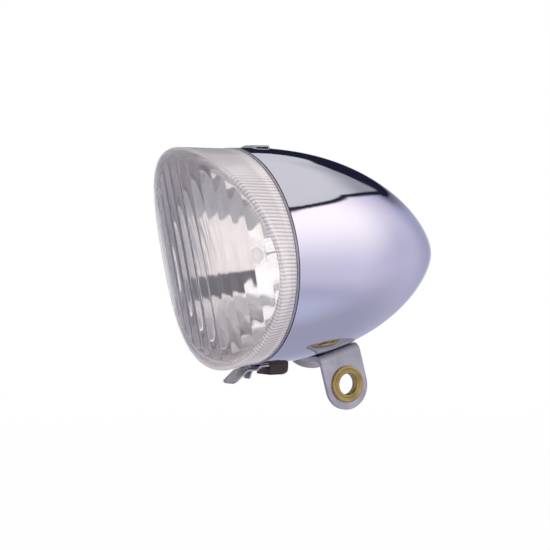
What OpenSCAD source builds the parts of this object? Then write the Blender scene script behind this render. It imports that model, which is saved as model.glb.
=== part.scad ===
// Bicycle headlight with a drawn steel shell, a visor lens and a one-leg bracket.
// The lamp's axis runs along Y and the lens faces -Y. The origin is the centre
// of the bushing in the bracket's leg, and +Z is up.

/* [Shell] */
// Outside diameter of the shell's mouth
rim_d = 70; // [64:1:80]
// Length of the shell from the middle of its mouth to its tip
shell_len = 75.7; // [70:0.1:88]
// Fullness of the shell's long curve
shell_full = 2.33; // [2.1:0.01:2.7]
// Roundness of the shell's nose
shell_round = 1.34; // [1.2:0.01:1.5]
// Lean of the mouth, its top being further forward
mouth_lean = 5; // [3:0.5:7]
// Thickness of the drawn steel
shell_wall = 0.8; // [0.6:0.1:1.2]

/* [Lens] */
// Depth of the lens at its two sides
lens_side_depth = 7.95; // [6.5:0.05:10]
// Lean of the glass, its top being further forward
lens_lean = 11.9; // [8:0.1:13]
// Radius of the glass's curve from side to side
lens_curve_r = 75; // [60:1:120]
// Width of the bevel round the glass, seen from the front
bevel_w = 0.8; // [0.5:0.1:1.5]
// Depth of the same bevel along the lamp's axis
bevel_h = 0.5; // [0.3:0.1:1]
// Stand of the lens's lower front edge outside the shell's mouth
lens_lip = 1.2; // [0.4:0.1:1.6]
// Amount by which the lens is smaller in radius at its rear
lens_draft = 0.4; // [0.2:0.1:0.6]
// Thickness of the glass
lens_wall = 2.2; // [1.6:0.1:2.6]
// Width of the lens's rear face
lens_land = 1.9; // [1.5:0.1:2.4]

/* [Rim ring] */
// Thickness of the steel ring behind the lens
ring_t = 0.6; // [0.4:0.1:0.8]
// Width of the ring's face
ring_w = 3.4; // [2.8:0.1:3.8]
// Width of the hook at the top
hook_w = 7; // [5:0.5:10]
// Distance of the hook's slot behind the mouth
hook_y = 9.3; // [8.5:0.1:12]
// Width of the lug at the bottom
lug_w = 5; // [4:0.5:7]
// Reach of the lug below the ring
lug_len = 1.1; // [0.8:0.1:1.4]

/* [Reflector] */
// Focal length of the bowl
focal = 10; // [9:0.5:11.5]
// Thickness of the bowl
bowl_wall = 0.6; // [0.4:0.1:0.8]
// Radius of the neck at the back of the bowl
neck_r = 6.9; // [6.4:0.1:7.5]
// Length of the neck
neck_len = 1.8; // [1.6:0.1:3]

/* [Bulb and holder] */
// Radius of the bulb's screw cap
cap_r = 4.7; // [4.2:0.1:5]
// Length of the screw cap
cap_len = 9.5; // [8:0.5:11]
// Radius of the glass envelope
globe_r = 5.25; // [4.5:0.05:5.8]
// Distance of the filament in front of the bulb's foot contact
light_len = 19.5; // [18:0.5:21]
// Wall of the holder's sleeve
sleeve_wall = 0.5; // [0.4:0.1:0.7]
// Play between the cap and the sleeve
cap_play = 0.08; // [0.03:0.01:0.1]

/* [Bracket] */
// Distance of the bracket's middle behind the mouth
bracket_y = 33.1; // [30:0.1:37]
// Thickness of the bracket's steel
bracket_t = 1.3; // [1:0.1:2]
// Width of the bracket
bracket_w = 15.8; // [14:0.1:20]
// Distance of the leg's outer face from the lamp's middle
leg_x = 9; // [8:0.1:11]
// Inside radius of the bend
bend_r = 1.1; // [0.8:0.1:1.5]
// Drop from the shell's surface to the bushing's centre
bore_drop = 11.1; // [10:0.1:16]
// Distance of the leg's rounded end below one drawn round the bore
leg_more = 0.5; // [0:0.1:1]
// Depth of the edge turned down on the saddle's other side
lug_drop = 7; // [5:0.1:8]
// Radius of the bushing's bore
bore_r = 3.5; // [2.6:0.1:4]
// Wall of the bushing
bushing_wall = 1; // [0.8:0.1:1.2]
// Radius of the bushing's flange
flange_r = 6; // [5.6:0.1:6.5]
// Thickness of the bushing's flange
flange_t = 0.9; // [0.6:0.1:1.2]

/* [Fasteners] */
// Radius of the bracket screw's thread
screw_r = 2; // [1.5:0.5:2.5]
// Radius of the catch rivet
rivet_r = 1; // [0.8:0.1:1.2]
// Radius of the terminal rivet
stud_r = 1; // [0.8:0.1:1.2]

/* [Catch] */
// Width of the catch's spring strip
catch_w = 7.7; // [7:0.1:9]
// Thickness of the strip
catch_t = 0.5; // [0.4:0.1:0.6]
// Distance of the catch rivet behind the mouth
catch_y = 7.6; // [7.4:0.1:8]
// Drop of the strip's free end below the shell
catch_drop = 1.4; // [1.3:0.1:1.8]
// Width of the tongue lanced from the strip
tongue_w = 3.4; // [2:0.1:4]
// Radius of the nib that stands in front of the lug
nib_r = 0.45; // [0.4:0.05:0.5]

/* [Terminal] */
// Distance of the terminal's rivet behind the mouth
term_y = 13.5; // [13.4:0.1:15]
// Length of the terminal block
term_len = 8.8; // [7.5:0.1:9.5]
// Width of the terminal block
term_w = 8; // [7:0.5:10]
// Height of the block under the shell
term_h = 3.6; // [3:0.1:4]
// Radius of the hole for the wire
wire_r = 0.6; // [0.5:0.05:0.65]
// Thickness of the contact strips
leaf_t = 0.4; // [0.3:0.1:0.5]
// Width of the contact strips
leaf_w = 4; // [3:0.5:5]

/* [Hidden] */

// Clearances: a fixed seat, a part that slides past, and a hole round a rivet
seat = 0.05;
gap = 0.3;
round_fn = 96;
rim_r = rim_d / 2;

// The shell's outline, and the angle at which it slopes towards its tip
function curve(y, r, l) = r * pow(1 - pow(max(y, 0) / l, shell_full), 1 / shell_round);
function skin(y) = curve(y, rim_r, shell_len);
function lining(y) = curve(y, rim_r - shell_wall, shell_len - 1.5 * shell_wall);
function slope(y) = atan((skin(y - 0.5) - skin(y + 0.5)));

// The outline of a bent strip of thickness t along the points p
function unit(v) = v / norm(v);
function left(a, b) = let (d = unit(b - a)) [-d[1], d[0]];
function mitre(p, i) = i == 0 ? left(p[0], p[1])
    : i == len(p) - 1 ? left(p[i - 1], p[i])
    : let (a = left(p[i - 1], p[i]), m = unit(a + left(p[i], p[i + 1]))) m / (m * a);
function band(p, t) = concat([for (i = [0 : len(p) - 1]) p[i] + mitre(p, i) * t / 2],
    [for (i = [len(p) - 1 : -1 : 0]) p[i] - mitre(p, i) * t / 2]);

// A solid turned about the lamp's axis, from points (radius, y)
module turned(points, fn = round_fn)
    rotate([-90, 0, 0]) rotate_extrude($fn = fn) polygon(points);

// Leans a place (y, z), or a piece, with the mouth
function tilt(p) = [p[0] * cos(mouth_lean) - p[1] * sin(mouth_lean), p[0] * sin(mouth_lean) + p[1] * cos(mouth_lean)];
module tilted() rotate([mouth_lean, 0, 0]) children();

// A flat shape in the plane (y, z), as thick as w, centred on x = 0
module across(w) rotate([90, 0, 90]) linear_extrude(w, center = true) children();

module strip(p, t, w) across(w) polygon(band(p, t));

// A round bar along the lamp's axis from y0 to y1
module rod(r, y0, y1, fn = 48) translate([0, y0, 0]) rotate([-90, 0, 0]) cylinder(r = r, h = y1 - y0, $fn = fn);

// The stack behind the lens, as places along the axis
ring_back = -0.25;
ring_front = ring_back - ring_t;
lens_back = ring_front - seat;
edge_r = rim_r - bevel_w;
recess_r = rim_r - lens_land;
recess_d = bowl_wall + 2 * seat;
glass_depth = lens_side_depth + edge_r * edge_r / (2 * lens_curve_r);
function glass_y(x, z) = -(glass_depth + z * tan(lens_lean) - x * x / (2 * lens_curve_r));

// The reflector's bowl and what is placed from it
bowl_r = rim_r - ring_w - gap - bowl_wall;
flange_y = lens_back - recess_d + seat;
vertex_y = flange_y + bowl_r * bowl_r / (4 * focal);
function bowl_y(r) = vertex_y - r * r / (4 * focal);
neck_y = bowl_y(neck_r) + neck_len;
plate_r = neck_r + 4.1;
plate_rivet_r = 0.8;
rivet_ring = plate_r - 2.1 * plate_rivet_r;
tip_y = vertex_y - focal + light_len;
foot_h = 1.4;
insulator_h = 1.6;
cap_y = tip_y - foot_h - insulator_h - cap_len;
neck_glass_r = cap_r - 0.9;

// The hook's notch and hinge
hinge_z = skin(hook_y) - shell_wall / 2;
hook_top = rim_r + 0.05 + ring_t / 2;
hook_low = rim_r - shell_wall + ring_t / 2;
notch_end = hook_y - 4.4;

// The catch: the lug's lower end, and the strip's places behind it and in front
ring_mid = (ring_front + ring_back) / 2;
lug_end = tilt([ring_mid, -rim_r - lug_len]);
catch_rear = catch_y + 1.6;
catch_front = catch_y - rivet_r - 0.7;
catch_foot = -skin(catch_rear) - seat - catch_t / 2;
function catch_z(y) = catch_foot + (-rim_r - seat - catch_t / 2 - catch_foot) * (catch_rear - y) / (catch_rear - catch_front);
catch_run = -rim_r - catch_drop;
bend_top = catch_front - 0.4;
step_y = catch_front - 1;
nib_y = lug_end[0] - ring_t / 2 - nib_r - 0.15;
nib_w = lug_w - 1;
nib_top = lug_end[1] + 0.5;
bend_y = nib_y - nib_r - 0.25;

// The terminal
term_top = -lining(term_y) + 0.9;
term_back = term_y - 4 + term_len;
term_foot = -skin(term_y) - term_h;
foot_z = term_top + 0.55 + leaf_t / 2;

// The bracket
base_r = skin(bracket_y);
lean = slope(bracket_y);
saddle_r = base_r / cos(lean) + seat;
bend_x = leg_x - bracket_t - bend_r;
bend_z = saddle_r - sqrt(pow(saddle_r + bracket_t + bend_r, 2) - bend_x * bend_x);
bend_a = asin(bend_x / (saddle_r + bracket_t + bend_r));
bushing_len = 2 * flange_t + bracket_t;
bore_x = leg_x - bracket_t / 2;
bore_y = bracket_y + bore_drop * sin(lean);
bore_z = -base_r - bore_drop * cos(lean);
washer_t = 1.1;
nut_h = 3.2;
nut_r = 2.02 * screw_r;
washer_lift = shell_wall + 0.35;

// Places a piece drawn round the mouth's centre
module lamp() translate([-bore_x, -bore_y, -bore_z]) children();

// Places a piece drawn from the bracket's middle, square to the shell
module base() lamp() translate([0, bracket_y, -base_r]) rotate([lean, 0, 0]) children();

// Drawn steel shell with a leaning mouth, a notch and a slot for the hook, and its holes
shell_steps = 40;
module shell() color([0.78, 0.78, 0.84]) {
    ys = [for (i = [0 : shell_steps]) 1 - pow(1 - i / shell_steps, 2)];
    inner = shell_len - 1.5 * shell_wall;
    front = rim_r * tan(mouth_lean) + 1;
    lamp() difference() {
        turned(concat([[rim_r, -front]], [for (t = ys) [skin(t * shell_len), t * shell_len]],
            [for (i = [shell_steps : -1 : 0]) [lining(ys[i] * inner), ys[i] * inner]],
            [[rim_r - shell_wall, -front]]), 120);
        tilted() translate([-2 * rim_r, -rim_r, -2 * rim_r]) cube([4 * rim_r, rim_r, 4 * rim_r]);
        translate([0, hook_y - 0.4, rim_r]) cube([hook_w + 0.8, 2.6, 6], center = true);
        translate([-hook_w / 2 - 0.4, -rim_r, rim_r - 3]) cube([hook_w + 0.8, rim_r + notch_end, 6]);
        translate([0, catch_y, -rim_r - 1]) cylinder(r = rivet_r + seat, h = 4, $fn = 48);
        translate([0, term_y, -rim_r - 1]) cylinder(r = stud_r + 1 + seat, h = 4, $fn = 48);
        translate([0, bracket_y, -base_r]) rotate([lean, 0, 0])
            cylinder(r = screw_r + 0.2, h = 6, center = true, $fn = 48);
    }
}

// Clear moulded lens: a bowl of rings, each a closed loop of points
lens_n = 90;
function lip(a) = lens_lip * (1 - cos(a)) / 2;
function edge_at(a, k, inset) = let (r = k * (edge_r + lip(a) - inset), x = r * sin(a), z = r * cos(a))
    [x, glass_y(x, z), z];
function wall_at(a, r, y) = [r * sin(a), y, r * cos(a)];
function rear_at(a, r, y) = let (p = tilt([y, r * cos(a)])) [r * sin(a), p[0], p[1]];
function wall_y(a) = edge_at(a, 1, 0)[1] + bevel_h;
function behind(p, t) = [p[0], p[1] + t, p[2]];
function loop(i) = let (s = [for (j = [0 : lens_n - 1]) 360 * j / lens_n], in_r = recess_r - 0.5)
    i == 0 ? [for (a = s) rear_at(a, rim_r - lens_draft, lens_back)]
    : i == 1 ? [for (a = s) wall_at(a, rim_r + lip(a), wall_y(a))]
    : i == 2 ? [for (a = s) (wall_at(a, rim_r + lip(a), wall_y(a)) + edge_at(a, 1, 0)) / 2 + [0.1 * sin(a), -0.1, 0.1 * cos(a)]]
    : i < 7 ? [for (a = s) edge_at(a, (7 - i) / 4, 0)]
    : i < 11 ? [for (a = s) behind(edge_at(a, (i - 6) / 4, lens_wall - 0.3), lens_wall)]
    : i == 11 ? [for (a = s) wall_at(a, in_r + lip(a), edge_at(a, 1, 0)[1] + lens_wall + 0.3)]
    : i == 12 ? [for (a = s) rear_at(a, in_r, lens_back - recess_d)]
    : i == 13 ? [for (a = s) rear_at(a, recess_r, lens_back - recess_d)]
    : [for (a = s) rear_at(a, recess_r, lens_back)];
module lens() color([0.8, 0.8, 0.83, 0.5]) {
    loops = 15;
    front = loops * lens_n;
    points = concat([for (i = [0 : loops - 1]) each loop(i)],
        [[0, glass_y(0, 0), 0], [0, glass_y(0, 0) + lens_wall, 0]]);
    bands = [for (i = [0 : loops - 1]) if (i != 6) i];
    faces = concat(
        [for (i = bands, j = [0 : lens_n - 1]) let (k = (j + 1) % lens_n, m = (i + 1) % loops)
            [i * lens_n + j, i * lens_n + k, m * lens_n + k, m * lens_n + j]],
        [for (j = [0 : lens_n - 1]) let (k = (j + 1) % lens_n) [6 * lens_n + j, 6 * lens_n + k, front]],
        [for (j = [0 : lens_n - 1]) let (k = (j + 1) % lens_n) [7 * lens_n + k, 7 * lens_n + j, front + 1]]);
    lamp() polyhedron(points, faces, convexity = 6);
}

// Steel ring behind the lens, with the hook over the shell's bridge and the catch's lug
module rim_ring() color([0.72, 0.72, 0.72]) {
    root = tilt([ring_mid, rim_r - 1.2]);
    lamp() {
        tilted() {
            turned([[rim_r - ring_w, ring_front], [rim_r, ring_front], [rim_r, ring_back], [rim_r - ring_w, ring_back]]);
            translate([0, ring_mid, -rim_r - lug_len / 2 + 0.5])
                cube([lug_w, ring_t, lug_len + 1], center = true);
        }
        strip([root, root + [-0.1, hook_low - root[1]], [notch_end - 1.7, hook_low], [notch_end - 0.3, hook_top],
            [hook_y, hook_top], [hook_y, hinge_z - 1.1], [hook_y + 1.2, hinge_z - 1.1]], ring_t, hook_w);
        translate([0, hook_y, hinge_z]) rotate([0, 90, 0]) cylinder(r = 0.5, h = hook_w, center = true, $fn = 32);
    }
}

// Metal reflector: a parabola with a flat flange in front and a riveting plate behind
bowl_steps = 28;
module reflector() color([0.85, 0.85, 0.85]) {
    rs = [for (i = [0 : bowl_steps]) bowl_r + (neck_r - bowl_r) * i / bowl_steps];
    face = [for (r = rs) [r, bowl_y(r)]];
    back = [for (i = [bowl_steps : -1 : 0]) let (r = rs[i], h = sqrt(1 + pow(r / (2 * focal), 2)))
        [r + bowl_wall * (r / (2 * focal)) / h, bowl_y(r) + bowl_wall / h]];
    lamp() tilted() difference() {
        turned(concat([[recess_r - gap / 2, flange_y]], face,
            [[neck_r, neck_y], [plate_r, neck_y], [plate_r, neck_y - bowl_wall],
                [neck_r + bowl_wall, neck_y - bowl_wall], [neck_r + bowl_wall, bowl_y(neck_r + bowl_wall) + bowl_wall]],
            [for (p = back) if (p[0] > neck_r + bowl_wall && p[1] > flange_y + bowl_wall) p],
            [[bowl_r + bowl_wall, flange_y + bowl_wall], [recess_r - gap / 2, flange_y + bowl_wall]]));
        for (s = [-1, 1]) translate([s * rivet_ring, 0, 0]) rod(plate_rivet_r + seat, neck_y - 2, neck_y + 1);
    }
}

// Brass bulb holder: a sleeve for the screw cap on a round plate
module bulb_holder() color([0.8, 0.68, 0.38]) {
    r = cap_r + cap_play;
    y = neck_y + seat;
    lamp() tilted() difference() {
        union() {
            rod(plate_r, y, y + 0.5, 96);
            rod(r + sleeve_wall, cap_y + 1.2, cap_y + cap_len + 0.7, 96);
        }
        rod(r, cap_y, tip_y + 2, 96);
        for (s = [-1, 1]) translate([s * rivet_ring, 0, 0]) rod(plate_rivet_r + seat, y - 1, y + 2);
    }
}

// Two brass rivets that join the holder to the reflector's plate
module holder_rivets() color([0.75, 0.62, 0.35])
    lamp() tilted() for (s = [-1, 1]) translate([s * rivet_ring, 0, 0]) {
        rod(plate_rivet_r, neck_y - bowl_wall - 0.5, neck_y + 1.1);
        rod(1.4, neck_y - bowl_wall - 0.55, neck_y - bowl_wall - seat / 2);
        rod(1.4, neck_y + seat + 0.52, neck_y + 1.1);
    }

// Glass envelope: a globe drawn into the neck that is cemented in the cap
globe_y = vertex_y - focal + 0.8;
module bulb_glass() color([0.9, 0.9, 0.92, 0.5]) {
    r = globe_r;
    n = neck_glass_r;
    end = cap_y + 2.5;
    wall = 0.45;
    a0 = 180 - asin(n / r);
    outer = [for (i = [0 : 24]) let (a = a0 * i / 24) [r * sin(a), globe_y - r * cos(a)]];
    inner = [for (i = [24 : -1 : 0]) let (a = (180 - asin((n - wall) / (r - wall))) * i / 24)
        [(r - wall) * sin(a), globe_y - (r - wall) * cos(a)]];
    lamp() tilted() turned(concat(outer, [[n, end], [n - wall, end]], inner));
}

// Glass stem with its bead, which carries the two wires
module bulb_stem() color([0.85, 0.88, 0.9]) {
    end = cap_y + 2.5;
    lamp() tilted() {
        turned([[0, cap_y - 0.8], [0.9, cap_y - 0.4], [1.1, cap_y + 1.2], [neck_glass_r - 0.5, end + 0.02],
            [neck_glass_r - 0.5, end + 0.6], [0, end + 0.6]], 48);
    }
}

// Coiled filament between two support wires
module bulb_filament() color([0.45, 0.45, 0.48]) {
    y = vertex_y - focal;
    reach = 1.9;
    wire = 0.16;
    turns = 9;
    coil = 0.42;
    lamp() tilted() {
        for (s = [-1, 1]) translate([s * reach, 0, 0]) rod(wire, y - 0.25, cap_y - 0.1, 12.1);
        for (s = [-1, 1]) translate([s * reach, cap_y - 0.2, 0]) rotate([0, -s * 90, 0])
            cylinder(r = wire, h = reach - 0.95, $fn = 16);
        for (i = [0 : turns]) translate([-reach + 2 * reach * (i + 0.5) / (turns + 1), y, 0])
            rotate([0, 90, 0]) rotate_extrude($fn = 24) translate([coil, 0]) circle(r = 0.09, $fn = 16);
        translate([-reach, y, coil]) rotate([0, 90, 0]) cylinder(r = 0.08, h = 2 * reach, $fn = 16);
    }
}

// Brass screw cap of the bulb
module bulb_cap() color([0.8, 0.7, 0.45])
    lamp() tilted() turned([[neck_glass_r + seat, cap_y], [cap_r, cap_y], [cap_r, cap_y + cap_len - 1],
        [cap_r - 1, cap_y + cap_len], [cap_r - 2, cap_y + cap_len], [cap_r - 2, cap_y + cap_len - 0.35],
        [cap_r - 1.2, cap_y + cap_len - 0.35], [cap_r - 0.4, cap_y + cap_len - 1.15],
        [cap_r - 0.4, cap_y + 0.4], [neck_glass_r + seat, cap_y + 0.4]]);

// Black glass insulator at the cap's end
module bulb_insulator() color([0.1, 0.1, 0.12])
    lamp() tilted() turned([[0, cap_y + cap_len - 0.3], [cap_r - 2.05, cap_y + cap_len - 0.3],
        [cap_r - 2.05, cap_y + cap_len + 0.05], [1.7, tip_y - foot_h], [0, tip_y - foot_h]]);

// Solder foot, which touches the contact spring
module bulb_contact() color([0.7, 0.7, 0.68])
    lamp() tilted() turned([[0, tip_y - foot_h + 0.01], [1.5, tip_y - foot_h + 0.01], [1.5, tip_y - 0.7],
        [1.1, tip_y - 0.2], [0, tip_y]], 48);

// Bronze strip that presses on the bulb's foot
module contact_spring() color([0.78, 0.6, 0.35]) {
    back = tip_y + seat + leaf_t / 2;
    lamp() difference() {
        strip([[term_y - 2.5, foot_z], [term_y + 1.9, foot_z], tilt([back + 0.8, -9]), tilt([back, -5]),
            tilt([back, 3.2]), tilt([back + 0.9, 4.4])], leaf_t, leaf_w);
        translate([0, term_y, foot_z]) cylinder(r = stud_r + seat, h = 3, center = true, $fn = 32);
    }
}

// Fibre plate that keeps the strip off the shell
module contact_insulator() color([0.45, 0.28, 0.18])
    lamp() difference() {
        translate([-term_w / 2, term_y - 3.2, term_top]) cube([term_w, 6, 0.5]);
        translate([0, term_y, term_top]) cylinder(r = stud_r + seat, h = 3, center = true, $fn = 32);
    }

// Moulded block under the shell, rounded behind, with a boss through the shell's hole
module terminal_block() color([0.16, 0.11, 0.1]) {
    term_round = 1.1;
    r = term_w / 2;
    start = term_back - term_len;
    lamp() difference() {
        union() {
            difference() {
                union() {
                    translate([-r, start, term_foot]) cube([term_w, term_len - r, term_h + 2]);
                    translate([0, term_back - r, term_foot]) cylinder(r1 = r - term_round, r2 = r, h = term_round, $fn = 64);
                    translate([0, term_back - r, term_foot + term_round - 0.01]) cylinder(r = r, h = term_h + 2 - term_round, $fn = 64);
                }
                translate([0, start - 1, 0]) rotate([-90, 0, 0])
                    cylinder(r1 = skin(start - 1) + 0.17, r2 = skin(term_back + 1) + 0.17, h = term_len + 2, $fn = 180);
            }
            translate([0, term_y, term_foot + 0.6])
                cylinder(r = stud_r + 1, h = term_top - term_foot - 0.6 - seat, $fn = 48);
        }
        translate([0, term_y, term_foot - 1]) cylinder(r = stud_r + seat, h = 9, $fn = 48);
        translate([0, term_y, term_foot - 1]) cylinder(r = stud_r + 0.8, h = 1.5, $fn = 48);
        translate([sleeve_x, 0, sleeve_z]) rod(sleeve_r + seat, term_y - 2.2 - seat, term_back + 1);
    }
}

// Brass sleeve that takes the bare end of the wire
sleeve_r = wire_r + 0.2;
sleeve_x = stud_r + sleeve_r + 0.3;
sleeve_z = term_foot + sleeve_r + 0.3;
module terminal_sleeve() color([0.8, 0.65, 0.35])
    lamp() translate([sleeve_x, 0, sleeve_z]) difference() {
        rod(sleeve_r, term_y - 2.2, term_y + 3.4);
        rod(wire_r, term_y - 1.8, term_y + 5);
    }

// Brass rivet that carries the current from the block to the contact strip
module terminal_rivet() color([0.78, 0.66, 0.4])
    lamp() translate([0, term_y, 0]) {
        translate([0, 0, term_foot + 0.1]) cylinder(r = stud_r, h = foot_z - term_foot + 0.6, $fn = 48);
        translate([0, 0, term_foot + 0.1]) cylinder(r = stud_r + 0.7, h = 0.35, $fn = 48);
        translate([0, 0, foot_z + leaf_t / 2 + seat]) cylinder(r = stud_r + 0.7, h = 0.5, $fn = 48);
    }

// Riveted end of the catch's strip. The strip bends where this end stops
module catch_foot() color([0.62, 0.62, 0.62])
    lamp() difference() {
        strip([[catch_rear, catch_foot], [catch_front + seat, catch_z(catch_front + seat)]], catch_t, catch_w);
        translate([0, catch_y, catch_foot]) cylinder(r = rivet_r + seat, h = 3, center = true, $fn = 48);
    }

// Free end, stepped down, with a nib before the lug, a lanced tongue and a finger tab
module catch_spring() color([0.62, 0.62, 0.62]) {
    hang = 4;
    lamp() {
        difference() {
            strip([[catch_front - seat, catch_z(catch_front - seat)], [bend_top, catch_z(bend_top)],
                [step_y, catch_run], [bend_y, catch_run], [bend_y - 1.25 * hang, catch_run - hang]], catch_t, catch_w);
            translate([0, (step_y + nib_y) / 2 - 0.2, catch_run])
                cube([tongue_w + 0.5, step_y - nib_y - 2 * nib_r - 0.4, 2], center = true);
        }
        strip([[step_y - 0.2, catch_run - 0.02], [step_y - 0.65, catch_run - 0.02],
            [step_y - 1.9, catch_run - 0.7 * hang]], catch_t - 0.04, tongue_w);
        translate([0, nib_y, nib_top - nib_r]) rotate([0, 90, 0])
            cylinder(r = nib_r, h = nib_w, center = true, $fn = 32);
        translate([0, nib_y, (nib_top - nib_r + catch_run) / 2])
            cube([nib_w, 1.6 * nib_r, nib_top - nib_r - catch_run], center = true);
    }
}

// Steel rivet of the catch, headed under the strip and inside the shell
module catch_rivet() color([0.7, 0.7, 0.7])
    lamp() translate([0, catch_y, 0]) {
        low = catch_z(catch_y) - catch_t / 2 - 0.1;
        high = -lining(catch_y) + 0.25;
        translate([0, 0, low - 0.4]) cylinder(r = rivet_r, h = high - low + 0.8, $fn = 48);
        translate([0, 0, low - 0.6]) cylinder(r = rivet_r + 0.5, h = 0.6 - seat / 2, $fn = 48);
        translate([0, 0, high]) cylinder(r = rivet_r + 0.6, h = 0.6, $fn = 48);
    }

// Bracket seen along its width: saddle, bend and leg
module bracket_section() {
    intersection() {
        translate([0, saddle_r]) difference() {
            circle(r = saddle_r + bracket_t, $fn = 180);
            circle(r = saddle_r, $fn = 180);
        }
        polygon([[0, saddle_r], [2 * saddle_r * sin(-bend_a), saddle_r - 2 * saddle_r * cos(bend_a)],
            [2 * saddle_r * sin(bend_a), saddle_r - 2 * saddle_r * cos(bend_a)]]);
    }
    for (side = [0, 1]) mirror([side, 0]) {
        translate([bend_x, bend_z]) intersection() {
            difference() {
                circle(r = bend_r + bracket_t, $fn = 64);
                circle(r = bend_r, $fn = 64);
            }
            polygon([[0, 0], [9, 0], [9, 9], [-9 * sin(bend_a + 2), 9 * cos(bend_a + 2)]]);
        }
        translate([leg_x - bracket_t, -bore_drop - bracket_w])
            square([bracket_t, bend_z + bore_drop + bracket_w + 0.03]);
    }
}

// Outlines of the two sides, seen along the bore: the leg, and the turned-down edge
module leg_outline() {
    translate([-bracket_w / 2, -bore_drop - leg_more]) square([bracket_w, bore_drop + leg_more + 9]);
    translate([0, -bore_drop - leg_more]) circle(r = bracket_w / 2, $fn = 96);
}
module edge_outline() intersection() {
    translate([-bracket_w / 2, -lug_drop]) square([bracket_w, lug_drop + 9]);
    union() {
        translate([-bracket_w, bend_z - bend_r]) square([2 * bracket_w, 20]);
        translate([3, 2 * bracket_w / 2.4 - lug_drop]) circle(r = 2 * bracket_w / 2.4, $fn = 128);
    }
}

module bracket() color([0.68, 0.68, 0.72])
    base() difference() {
        intersection() {
            rotate([90, 0, 0]) linear_extrude(bracket_w + 1, center = true) bracket_section();
            union() {
                translate([0, 0, 0]) rotate([90, 0, 90]) linear_extrude(30) leg_outline();
                translate([-30, 0, 0]) rotate([90, 0, 90]) linear_extrude(30) edge_outline();
            }
        }
        cylinder(r = screw_r + 0.2, h = 12, center = true, $fn = 48);
        translate([0, 0, -bore_drop]) rotate([0, 90, 0]) cylinder(r = bore_r + bushing_wall + 0.02, h = 40, $fn = 96);
    }

// Flanged brass bushing, rolled over behind the leg
module bushing() color([0.72, 0.6, 0.25])
    base() translate([bore_x, 0, -bore_drop]) rotate([0, 90, 0]) rotate_extrude($fn = 96) {
        h = bracket_t / 2 + seat / 2;
        k = flange_t / 2;
        difference() {
            union() {
                translate([bore_r, -h - flange_t]) square([bushing_wall, 2 * (h + flange_t)]);
                translate([bore_r, h]) square([flange_r - bore_r - k, flange_t]);
                translate([flange_r - k, h + k]) circle(r = k, $fn = 32);
                translate([bore_r, -h - flange_t]) square([flange_r - bore_r - k - 0.5, flange_t]);
                translate([flange_r - k - 0.5, -h - k]) circle(r = k, $fn = 32);
            }
            translate([bore_r, -h - flange_t - 0.01]) square([0.01, 0.005]);
        }
    }

// Pan-head screw through the saddle and the shell
module bracket_screw() color([0.7, 0.7, 0.72])
    base() {
        top = washer_lift + washer_t + leaf_t + nut_h + 0.6;
        head = 1.8 * screw_r;
        low = -bracket_t - 2 * seat;
        translate([0, 0, low - 0.1]) cylinder(r = screw_r - 0.02, h = top - low + 0.1, $fn = 48);
        difference() {
            translate([0, 0, low - 2.1]) rotate_extrude($fn = 64) difference() {
                square([head, 2.1]);
                translate([head, 0]) difference() {
                    translate([-0.8, -0.1]) square([1, 0.9]);
                    translate([-0.8, 0.8]) circle(r = 0.8, $fn = 32);
                }
            }
            translate([0, 0, low - 2.1]) cube([9, 0.9, 2], center = true);
        }
    }

// Washer, earth strip and nut stand in this order inside the shell
module bracket_washer() color([0.65, 0.65, 0.66])
    base() translate([0, 0, washer_lift]) difference() {
        cylinder(r = 1.75 * screw_r, h = washer_t - seat, $fn = 64);
        cylinder(r = screw_r + 0.1, h = 9, center = true, $fn = 48);
    }

module bracket_nut() color([0.66, 0.66, 0.68])
    base() translate([0, 0, washer_lift + washer_t + leaf_t + seat]) difference() {
        cylinder(r = nut_r, h = nut_h, $fn = 6);
        cylinder(r = screw_r, h = 20, center = true, $fn = 48);
    }

// Bronze strip from the nut to the back of the reflector
module earth_spring() color([0.75, 0.6, 0.38]) {
    arm_x = nut_r + 0.5 + leaf_w / 2;
    touch = 18;
    touch_r = sqrt(touch * touch + pow(arm_x - leaf_w / 2, 2));
    steep = touch_r / (2 * focal);
    back = [bowl_y(touch_r) + (bowl_wall + seat) * sqrt(1 + steep * steep) + leaf_t, -touch];
    arm_end = tilt(back);
    base() difference() {
        translate([-nut_r, -leaf_w, washer_lift + washer_t]) cube([arm_x + leaf_w / 2 + nut_r, 2 * leaf_w, leaf_t - seat]);
        cylinder(r = screw_r + 0.15, h = 20, center = true, $fn = 48);
    }
    z = washer_lift + washer_t + leaf_t / 2;
    start = [bracket_y - leaf_w * cos(lean) - z * sin(lean), -base_r - leaf_w * sin(lean) + z * cos(lean)];
    lamp() translate([arm_x, 0, 0])
        strip([start + 0.8 * [cos(lean), sin(lean)], start, arm_end + [5, -5], arm_end],
            leaf_t - 1.8 * seat, leaf_w - seat);
}

shell();
lens();
rim_ring();
reflector();
bulb_holder();
holder_rivets();
bulb_glass();
bulb_stem();
bulb_filament();
bulb_cap();
bulb_insulator();
bulb_contact();
contact_spring();
contact_insulator();
terminal_block();
terminal_sleeve();
terminal_rivet();
catch_foot();
catch_spring();
catch_rivet();
bracket();
bushing();
bracket_screw();
bracket_washer();
bracket_nut();
earth_spring();
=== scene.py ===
"""A small chromed bicycle headlight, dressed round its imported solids."""

import math

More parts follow.
